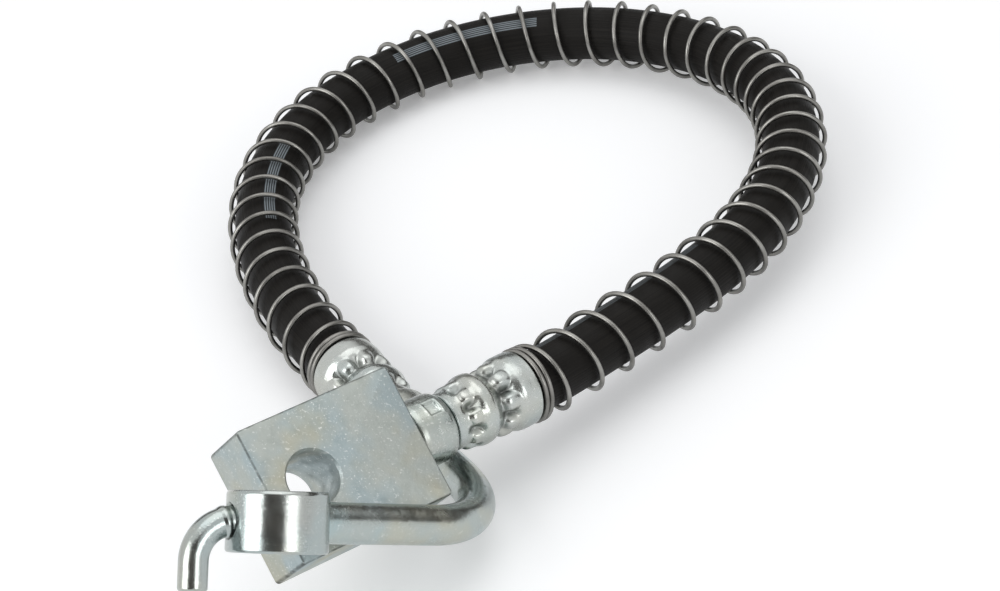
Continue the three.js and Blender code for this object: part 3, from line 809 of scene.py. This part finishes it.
# %% The hooked pin
PIN_RADIUS = 2.25 * MM
PIN_BEND = 6.0 * MM
TIP_RUN = 0.55 * MM
TIP_FALL = 0.5 * MM
COLLAR_RISE = 0.22 * MM
COLLAR_AT = 2.1 * MM
COLLAR_HALF = 0.7 * MM
pin_start = eye_centre + pin_out * 6.3 * MM
pin_corner = eye_centre + pin_out * 12.9 * MM
pin_end = pin_corner + face * 10.4 * MM
pin_points = bent_line(pin_start, pin_corner, pin_end, PIN_BEND, step=0.08 * MM)
pin_at = pin_points[3]
from_tip = np.clip((pin_at[-1] - pin_at) / TIP_RUN, 0, 1)
tip = TIP_FALL * (1 - np.sqrt(1 - (1 - from_tip) ** 2))
collar = COLLAR_RISE * bump((pin_at - COLLAR_AT) / COLLAR_HALF)
pin_radii = PIN_RADIUS + collar - tip
hooked_pin = bent_rod("hooked_pin", "locating_pin", pin_points, pin_radii)

# %% [markdown]
# ## Finishes
#
# Zinc plate is never even: it has soft patches of blue and yellow, tiny bright specks, small
# dents and scuffs. Those belong to every steel piece here, so one node group gives them, and
# each material sets their strengths. Metals show their surroundings, so most of
# the work is in small changes of roughness and of the surface's tilt.


# %% Helpers for shader nodes
def add_node(tree, kind, settings=None, **inputs):
    """Adds a node, sets its options and its input values, and links any socket given.

    An input goes by its label, or by its number as _0, _1 and so on.
    """
    node = tree.nodes.new(kind)
    for key, value in (settings or {}).items():
        setattr(node, key, value)
    for key, value in inputs.items():
        socket = node.inputs[int(key[1:])] if key[0] == "_" else node.inputs[key.replace("_", " ")]
        if isinstance(value, bpy.types.NodeSocket):
            tree.links.new(value, socket)
        else:
            socket.default_value = value
    return node


def math_node(tree, operation, first, second=0.0, third=0.0, clamp=False):
    """The value that a Math node works out from its first, second and third values."""
    settings = {"operation": operation, "use_clamp": clamp}
    node = add_node(tree, "ShaderNodeMath", settings, _0=first, _1=second, _2=third)
    return node.outputs[0]


def mix_colour(tree, share, first, second):
    """The first colour where share is 0, and the second where it is 1."""
    settings = {"data_type": "RGBA"}
    node = add_node(tree, "ShaderNodeMix", settings, _0=share, _6=first, _7=second)
    return node.outputs[2]


def noise(tree, vector, scale, detail, settings=None, **inputs):
    """The grey value of a Noise Texture node."""
    kind = "ShaderNodeTexNoise"
    node = add_node(tree, kind, settings, Vector=vector, Scale=scale, Detail=detail, **inputs)
    return node.outputs["Fac"]


def ramp(tree, value, stops, crisp=False):
    """A colour ramp with (position, grey or colour) stops, which jump where it is crisp."""
    node = tree.nodes.new("ShaderNodeValToRGB")
    node.color_ramp.interpolation = "CONSTANT" if crisp else "LINEAR"
    elements = node.color_ramp.elements
    while len(elements) < len(stops):
        elements.new(0.5)
    for element, (position, colour) in zip(elements, stops):
        element.position = position
        grey = isinstance(colour, (int, float))
        element.color = (colour, colour, colour, 1) if grey else (*colour, 1)
    tree.links.new(value, node.inputs["Fac"])
    return node.outputs["Color"]


def new_group(name, inputs, outputs):
    """An empty node group with named sockets: (name, socket type, default)."""
    tree = bpy.data.node_groups.new(name, "ShaderNodeTree")
    for label, kind, default in inputs:
        socket = tree.interface.new_socket(label, in_out="INPUT", socket_type=kind)
        if default is not None:
            socket.default_value = default
    for label, kind in outputs:
        tree.interface.new_socket(label, in_out="OUTPUT", socket_type=kind)
    return tree, tree.nodes.new("NodeGroupInput"), tree.nodes.new("NodeGroupOutput")


FLOAT = "NodeSocketFloat"
COLOUR = "NodeSocketColor"
VECTOR = "NodeSocketVector"

# %% Zinc plate group
zinc, zin, zout = new_group(
    "zinc_plate",
    [
        ("Vector", VECTOR, None),
        ("Base", COLOUR, (0.6, 0.6, 0.6, 1)),
        ("Cool Tint", COLOUR, (0.5, 0.6, 0.65, 1)),
        ("Warm Tint", COLOUR, (0.62, 0.6, 0.5, 1)),
        ("Tint Strength", FLOAT, 0.3),
        ("Speck Strength", FLOAT, 0.3),
        ("Roughness", FLOAT, 0.25),
        ("Dent Strength", FLOAT, 0.3),
    ],
    [("Color", COLOUR), ("Roughness", FLOAT), ("Height", FLOAT)],
)
NEARLY_WHITE = (1.0, 1.0, 0.98, 1.0)
where = zin.outputs["Vector"]
strength = zin.outputs["Tint Strength"]

cool_patches = noise(zinc, where, 95.0, 3.0)
warm_patches = noise(zinc, where, 120.0, 2.0, {"noise_dimensions": "4D"}, W=3.7)
cool_share = ramp(zinc, cool_patches, [(0.45, 0.0), (0.62, 1.0)])
warm_share = ramp(zinc, warm_patches, [(0.48, 0.0), (0.66, 1.0)])
cool_share = math_node(zinc, "MULTIPLY", cool_share, strength)
warm_share = math_node(zinc, "MULTIPLY", warm_share, strength)
tinted = mix_colour(zinc, cool_share, zin.outputs["Base"], zin.outputs["Cool Tint"])
tinted = mix_colour(zinc, warm_share, tinted, zin.outputs["Warm Tint"])

grains = noise(zinc, where, 2600.0, 2.0)
specks = ramp(zinc, grains, [(0.62, 0.0), (0.72, 1.0)])
gather = ramp(zinc, cool_patches, [(0.38, 0.25), (0.6, 1.0)])
specks = math_node(zinc, "MULTIPLY", specks, gather)
stretched = add_node(
    zinc, "ShaderNodeMapping", Vector=where, Rotation=(0.4, 0.9, 0.6), Scale=(1.0, 14.0, 14.0)
)
streaks = noise(zinc, stretched.outputs[0], 170.0, 2.0, Distortion=0.6)
scratches = ramp(zinc, streaks, [(0.66, 0.0), (0.7, 1.0)])
marks = math_node(zinc, "MULTIPLY_ADD", scratches, 0.6, specks, clamp=True)
marks = math_node(zinc, "MULTIPLY", marks, zin.outputs["Speck Strength"])
zinc.links.new(mix_colour(zinc, marks, tinted, NEARLY_WHITE), zout.inputs["Color"])

scuffs = noise(zinc, where, 420.0, 4.0, Roughness=0.6)
shift = {"From_Min": 0.3, "From_Max": 0.7, "To_Min": 0.75, "To_Max": 1.35}
rough_shift = add_node(zinc, "ShaderNodeMapRange", Value=scuffs, **shift).outputs[0]
rough = math_node(zinc, "MULTIPLY", rough_shift, zin.outputs["Roughness"])
zinc.links.new(rough, zout.inputs["Roughness"])
dents = math_node(zinc, "MULTIPLY", scuffs, zin.outputs["Dent Strength"])
zinc.links.new(math_node(zinc, "MULTIPLY_ADD", specks, 0.12, dents), zout.inputs["Height"])
print("zinc plate group:", len(zinc.nodes), "nodes")

# %% Fine lines group
lines, lin, lout = new_group(
    "fine_lines",
    [("Across", FLOAT, 0.0), ("Count", FLOAT, 60.0), ("Along", FLOAT, 0.0), ("Drift", FLOAT, 1.0)],
    [("Height", FLOAT)],
)
line_place = math_node(lines, "MULTIPLY", lin.outputs["Across"], lin.outputs["Count"])
line_drift = math_node(lines, "MULTIPLY", lin.outputs["Along"], lin.outputs["Drift"])
line_vector = add_node(lines, "ShaderNodeCombineXYZ", X=line_place, Y=line_drift).outputs[0]
lines.links.new(noise(lines, line_vector, 1.0, 3.0), lout.inputs["Height"])
print("fine lines group:", len(lines.nodes), "nodes")


# %% Helpers for materials
def use_group(tree, group, **inputs):
    """Places a node group in a material and sets its inputs."""
    return add_node(tree, "ShaderNodeGroup", settings={"node_tree": group}, **inputs)


def new_material(name):
    """A new material, its node tree and its shader."""
    material = bpy.data.materials.new(name)
    material.use_nodes = True
    tree = material.node_tree
    return material, tree, tree.nodes["Principled BSDF"]


def object_place(tree):
    """The place of a point in the model."""
    return add_node(tree, "ShaderNodeTexCoord").outputs["Object"]


def surface_place(tree):
    """The share of the way round a piece and the distance along it, from its UV map."""
    surface = add_node(tree, "ShaderNodeUVMap", settings={"uv_map": "surface"})
    parts = add_node(tree, "ShaderNodeSeparateXYZ", Vector=surface.outputs[0])
    return parts.outputs["X"], parts.outputs["Y"]


def finish_shader(tree, shader, tone, gloss, height, relief, distance):
    """Links a colour, a roughness and a bump of the given strength and depth to the shader."""
    bumps = add_node(tree, "ShaderNodeBump", Strength=relief, Distance=distance, Height=height)
    tree.links.new(tone, shader.inputs["Base Color"])
    tree.links.new(gloss, shader.inputs["Roughness"])
    tree.links.new(bumps.outputs[0], shader.inputs["Normal"])


# %% Zinc materials
COOL = (0.34, 0.45, 0.47)
WARM = (0.48, 0.46, 0.36)
# Colour of the painted shade in dents, valleys and on eased edges.
PAINTED_SHADE_COLOUR = (0.07, 0.075, 0.07, 1.0)
PLATE_RELIEF = 0.2 * MM


def plated(
    name, base, tint, speck, roughness, dent, relief, cool=COOL, warm=WARM, turned=0.0, painted_shade=0.0
):
    """A zinc-plated steel. Turned adds turning marks round it, and the last argument paints shade
    into the marked dents, valleys and eased edges.
    """
    material, tree, shader = new_material(name)
    place = object_place(tree)
    plate = use_group(
        tree,
        zinc,
        Vector=place,
        Base=(*base, 1),
        Cool_Tint=(*cool, 1),
        Warm_Tint=(*warm, 1),
        Tint_Strength=tint,
        Speck_Strength=speck,
        Roughness=roughness,
        Dent_Strength=dent,
    )
    tone, gloss, height = (plate.outputs[k] for k in ("Color", "Roughness", "Height"))
    if turned > 0:
        around, along = surface_place(tree)
        rings = use_group(tree, lines, Across=along, Count=9000.0, Along=around, Drift=6.0)
        height = math_node(tree, "MULTIPLY_ADD", rings.outputs[0], turned, height)
    # Painted shade: the marked dents, valleys and eased edges are darkened, unevenly, and made a
    # little rougher.
    if painted_shade > 0:
        shade_mask = add_node(tree, "ShaderNodeAttribute", settings={"attribute_name": "shade_mask"})
        uneven = ramp(tree, noise(tree, place, 700.0, 4.0), [(0.35, 0.35), (0.65, 1.0)])
        shade_share = math_node(tree, "MULTIPLY", shade_mask.outputs["Fac"], uneven)
        shade_share = math_node(tree, "MULTIPLY", shade_share, painted_shade)
        tone = mix_colour(tree, shade_share, tone, PAINTED_SHADE_COLOUR)
        gloss = math_node(tree, "MULTIPLY_ADD", shade_share, 0.25, gloss)
    finish_shader(tree, shader, tone, gloss, height, relief, PLATE_RELIEF)
    shader.inputs["Metallic"].default_value = 1.0
    return material


crimped_zinc = plated(
    "crimped_zinc",
    base=(0.47, 0.49, 0.47),
    tint=0.3,
    speck=0.35,
    roughness=0.25,
    dent=0.9,
    relief=0.55,
    painted_shade=0.85,
)
hub_zinc = plated(
    "hub_zinc",
    base=(0.41, 0.43, 0.40),
    tint=0.3,
    speck=0.5,
    roughness=0.27,
    dent=0.8,
    relief=0.5,
    turned=0.2,
)
turned_zinc = plated(
    "turned_zinc",
    base=(0.38, 0.40, 0.385),
    tint=0.3,
    speck=0.2,
    roughness=0.19,
    dent=0.6,
    relief=0.35,
    turned=0.2,
)
block_zinc = plated(
    "block_zinc",
    base=(0.42, 0.45, 0.425),
    tint=0.65,
    speck=0.45,
    roughness=0.5,
    dent=0.9,
    relief=0.6,
    cool=(0.34, 0.42, 0.45),
    warm=(0.45, 0.43, 0.33),
    painted_shade=0.8,
)
pipe_zinc = plated(
    "pipe_zinc",
    base=(0.40, 0.44, 0.425),
    tint=0.5,
    speck=0.3,
    roughness=0.22,
    dent=0.7,
    relief=0.45,
)

# %% Spring wire material
DULL_STEEL = (0.18, 0.175, 0.163)
BRIGHT_STEEL = (0.33, 0.325, 0.305)
WIRE_RELIEF = 0.1 * MM
spring_steel, tree, shader = new_material("spring_steel")
wear = noise(tree, object_place(tree), 260.0, 4.0)
tone = ramp(tree, wear, [(0.3, DULL_STEEL), (0.7, BRIGHT_STEEL)])
gloss = ramp(tree, wear, [(0.3, 0.42), (0.7, 0.3)])
around, along = surface_place(tree)
drawn = use_group(tree, lines, Across=around, Count=26.0, Along=along, Drift=60.0)
finish_shader(tree, shader, tone, gloss, drawn.outputs[0], 0.25, WIRE_RELIEF)
shader.inputs["Metallic"].default_value = 1.0

# %% [markdown]
# ## Rubber
#
# The rubber is black with a soft sheen. The extruder leaves fine lines along it. A printed
# band of five thin grey lines runs along its upper side, in lengths with gaps between them.

# %% Rubber material
DARK_RUBBER = (0.004, 0.0035, 0.003)
WORN_RUBBER = (0.013, 0.0115, 0.0098)
PRINT_COLOUR = (0.24, 0.27, 0.29, 1.0)
RUBBER_RELIEF = 0.2 * MM
BAND_MIDDLE = 65 / 360
BAND_HALF = 0.034
WAVES_IN_HALF_BAND = 2.5
PRINTED_LENGTHS = [
    (0.0, 0.0),
    (0.048, 1.0),
    (0.077, 0.0),
    (0.113, 1.0),
    (0.142, 0.0),
    (0.262, 0.4),
    (0.302, 0.0),
]
rubber, tree, shader = new_material("rubber")
around, along = surface_place(tree)
ribs = use_group(tree, lines, Across=around, Count=150.0, Along=along, Drift=40.0).outputs[0]
tone = ramp(tree, ribs, [(0.3, DARK_RUBBER), (0.75, WORN_RUBBER)])

band_off = math_node(tree, "SUBTRACT", around, BAND_MIDDLE)
band_off = math_node(tree, "ABSOLUTE", band_off)
in_band = math_node(tree, "LESS_THAN", band_off, BAND_HALF)
wave = math_node(tree, "MULTIPLY", band_off, 2 * np.pi * WAVES_IN_HALF_BAND / BAND_HALF)
wave = math_node(tree, "COSINE", wave)
thin_lines = ramp(tree, wave, [(0.0, 0.15), (0.5, 1.0)])
in_lengths = ramp(tree, along, PRINTED_LENGTHS, crisp=True)
printed = math_node(tree, "MULTIPLY", in_band, thin_lines)
printed = math_node(tree, "MULTIPLY", printed, in_lengths)
tone = mix_colour(tree, printed, tone, PRINT_COLOUR)

dust = noise(tree, object_place(tree), 180.0, 4.0)
gloss = ramp(tree, dust, [(0.3, 0.42), (0.7, 0.6)])
finish_shader(tree, shader, tone, gloss, ribs, 0.5, RUBBER_RELIEF)
shader.inputs["Specular IOR Level"].default_value = 0.12

# %% Put each finish on its pieces
finishes = {
    rubber: [rubber_hose],
    spring_steel: [guard_wire],
    crimped_zinc: [block_shell, pipe_shell],
    hub_zinc: [block_stem, pipe_stem],
    turned_zinc: [banjo_ring, hooked_pin],
    block_zinc: [drilled_block],
    pipe_zinc: [steel_pipe],
}
for material, pieces in finishes.items():
    for piece in pieces:
        piece.data.materials.clear()
        piece.data.materials.append(material)
    print(material.name, "on", len(pieces), "pieces")

# %% [markdown]
# ## Studio
#
# Bright metal shows the room, so the room matters as much as the metal. Two soft lamps stand
# left and right of the camera. Dark cards behind the camera and to the right make the dark
# bands on the eye, the pin and the pipe. They show in reflections alone. The floor and the
# background are plain and pale.

# %% Floor
FLOOR_SIZE = 3.0
FLOOR_DROP = 0.1 * MM
FLOOR_LIFT = 0.2
floor_mesh = bpy.data.meshes.new("floor")
floor_corners = np.array([(-1, -1, 0), (1, -1, 0), (1, 1, 0), (-1, 1, 0)]) * FLOOR_SIZE
floor_corners[:, 2] = -FLOOR_DROP
floor_mesh.from_pydata(floor_corners.tolist(), [], [(0, 1, 2, 3)])
floor = bpy.data.objects.new("floor", floor_mesh)
bpy.context.scene.collection.objects.link(floor)
floor_material, tree, shader = new_material("floor")
shader.inputs["Base Color"].default_value = (0.93, 0.93, 0.93, 1)
shader.inputs["Roughness"].default_value = 0.9
shader.inputs["Specular IOR Level"].default_value = 0.1
shader.inputs["Emission Color"].default_value = (1, 1, 1, 1)
rays = add_node(tree, "ShaderNodeLightPath").outputs
seen = math_node(tree, "MAXIMUM", rays["Is Camera Ray"], rays["Is Glossy Ray"])
lift = math_node(tree, "MULTIPLY", seen, FLOOR_LIFT)
tree.links.new(lift, shader.inputs["Emission Strength"])
floor_mesh.materials.append(floor_material)
print("floor", 2 * FLOOR_SIZE, "m wide")

# %% Dark cards
CARD_SIDE = 9
card_material, tree, shader = new_material("dark_card")
shader.inputs["Base Color"].default_value = (0.12, 0.11, 0.1, 1)
shader.inputs["Roughness"].default_value = 1.0


def toward(azimuth, elevation, distance):
    """The point at that distance, compass direction from +X and height angle in degrees."""
    a, e = np.radians((azimuth, elevation))
    return distance * np.array([np.cos(e) * np.cos(a), np.cos(e) * np.sin(a), np.sin(e)])


def dark_card(name, azimuths, elevations, distance=1.0):
    """A curved card that fills a range of compass directions and height angles."""
    a = np.linspace(*azimuths, CARD_SIDE)
    e = np.linspace(*elevations, CARD_SIDE)
    grid = np.array([[toward(x, y, distance) for x in a] for y in e]).reshape(-1, 3)
    i, j = np.meshgrid(np.arange(CARD_SIDE - 1), np.arange(CARD_SIDE - 1), indexing="ij")
    first = i * CARD_SIDE + j
    above = first + CARD_SIDE
    quads = np.stack([first, first + 1, above + 1, above], -1).reshape(-1, 4)
    mesh = bpy.data.meshes.new(name)
    mesh.from_pydata(grid.tolist(), [], quads.tolist())
    mesh.materials.append(card_material)
    card = bpy.data.objects.new(name, mesh)
    bpy.context.scene.collection.objects.link(card)
    card.visible_camera = False
    card.visible_diffuse = False
    card.visible_shadow = False
    card.visible_transmission = False
    print(name, "fills", azimuths, "by", elevations, "degrees")


dark_card("card_behind_camera", (-122, -62), (16, 62))
dark_card("card_right", (-4, 132), (3, 24))


# %% Lamps
def soft_lamp(name, azimuth, elevation, distance, size, power):
    """A square lamp that faces the middle of the hose."""
    light = bpy.data.lights.new(name, "AREA")
    light.shape = "SQUARE"
    light.size = size
    light.energy = power
    lamp = bpy.data.objects.new(name, light)
    place = Vector(toward(azimuth, elevation, distance))
    lamp.matrix_world = Matrix.Translation(place) @ place.to_track_quat("Z", "Y").to_matrix().to_4x4()
    lamp.visible_camera = False
    bpy.context.scene.collection.objects.link(lamp)
    print(name, "of", power, "W")


soft_lamp("lamp_left", -143, 33, 1.0, 0.66, 3.7)
soft_lamp("lamp_right", -49, 24, 1.0, 0.42, 1.4)
soft_lamp("lamp_top", 60, 75, 1.0, 0.8, 2.0)

# %% The pale surroundings
world = bpy.data.worlds.new("surroundings")
bpy.context.scene.world = world
world.use_nodes = True
tree = world.node_tree
tree.nodes.clear()
rays = add_node(tree, "ShaderNodeLightPath").outputs
seen = math_node(tree, "MAXIMUM", rays["Is Camera Ray"], rays["Is Glossy Ray"])
seen = math_node(tree, "MAXIMUM", seen, rays["Is Transmission Ray"])
light_side = add_node(tree, "ShaderNodeBackground", Color=(0.95, 0.97, 1.0, 1), Strength=0.55)
seen_side = add_node(tree, "ShaderNodeBackground", Color=(1.0, 1.0, 1.0, 1), Strength=1.0)
both = add_node(
    tree, "ShaderNodeMixShader", _0=seen, _1=light_side.outputs[0], _2=seen_side.outputs[0]
)
add_node(tree, "ShaderNodeOutputWorld", Surface=both.outputs[0])
bpy.context.scene.view_settings.view_transform = "Standard"
